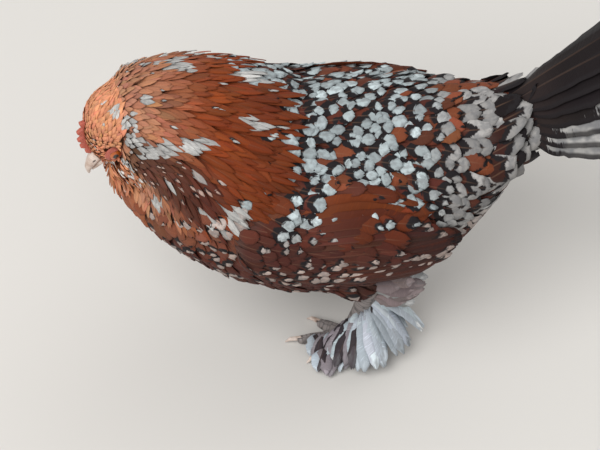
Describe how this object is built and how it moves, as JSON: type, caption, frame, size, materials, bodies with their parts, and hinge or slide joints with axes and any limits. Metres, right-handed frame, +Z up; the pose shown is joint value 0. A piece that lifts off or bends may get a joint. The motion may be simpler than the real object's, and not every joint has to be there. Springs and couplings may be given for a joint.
{
  "type": "bantam hen",
  "caption": "Still life-size model of a feather-footed, bearded bantam hen that stands with its head lowered, as in a museum display.",
  "frame": {"origin": "on the floor under the middle of the bird's bounding box, between and just behind the feet", "axes": "+Z up; the bird faces -Y, so its tail points to +Y; its left side is +X"},
  "size_m": [0.1234, 0.2888, 0.2162],
  "materials": {
    "plumage": "matt feathers, mahogany barred black and tipped white",
    "hackle": "silky orange-gold feathers with pale tips",
    "quill": "close flat vanes, bay and black with white tips",
    "tail": "black-brown vanes with a slight sheen and white tips",
    "boot": "soft white, grey and black feathers",
    "horn": "satin pale horn",
    "comb": "soft pebbled skin, coral",
    "eye": "wet and glossy, orange-bay round a black pupil",
    "leg": "scaled skin, slate to pinkish white"
  },
  "bodies": {
    "root": {"head": "plumage", "beak_upper": "horn", "beak_lower": "horn", "comb": "comb", "beard": "plumage", "eye_left": "eye", "muff_left": "plumage", "eye_right": "eye", "muff_right": "plumage", "neck": "hackle", "trunk": "plumage", "rump": "plumage", "wing_coverts_left": "plumage", "secondaries_left": "quill", "primaries_left": "quill", "thigh_left": "plumage", "foot_left": "leg", "shank_left": "leg", "claw_inner_left": "horn", "claw_middle_left": "horn", "claw_outer_left": "horn", "claw_hind_left": "horn", "hock_feathers_left": "boot", "boot_feathers_left": "boot", "wing_coverts_right": "plumage", "secondaries_right": "quill", "primaries_right": "quill", "thigh_right": "plumage", "foot_right": "leg", "shank_right": "leg", "claw_inner_right": "horn", "claw_middle_right": "horn", "claw_outer_right": "horn", "claw_hind_right": "horn", "hock_feathers_right": "boot", "boot_feathers_right": "boot", "tail_1_left": "tail", "tail_1_right": "tail", "tail_2_left": "tail", "tail_2_right": "tail", "tail_3_left": "tail", "tail_3_right": "tail", "tail_4_left": "tail", "tail_4_right": "tail", "tail_5_left": "tail", "tail_5_right": "tail", "tail_6_left": "tail", "tail_6_right": "tail", "tail_7_left": "tail", "tail_7_right": "tail"}
  },
  "joints": []
}
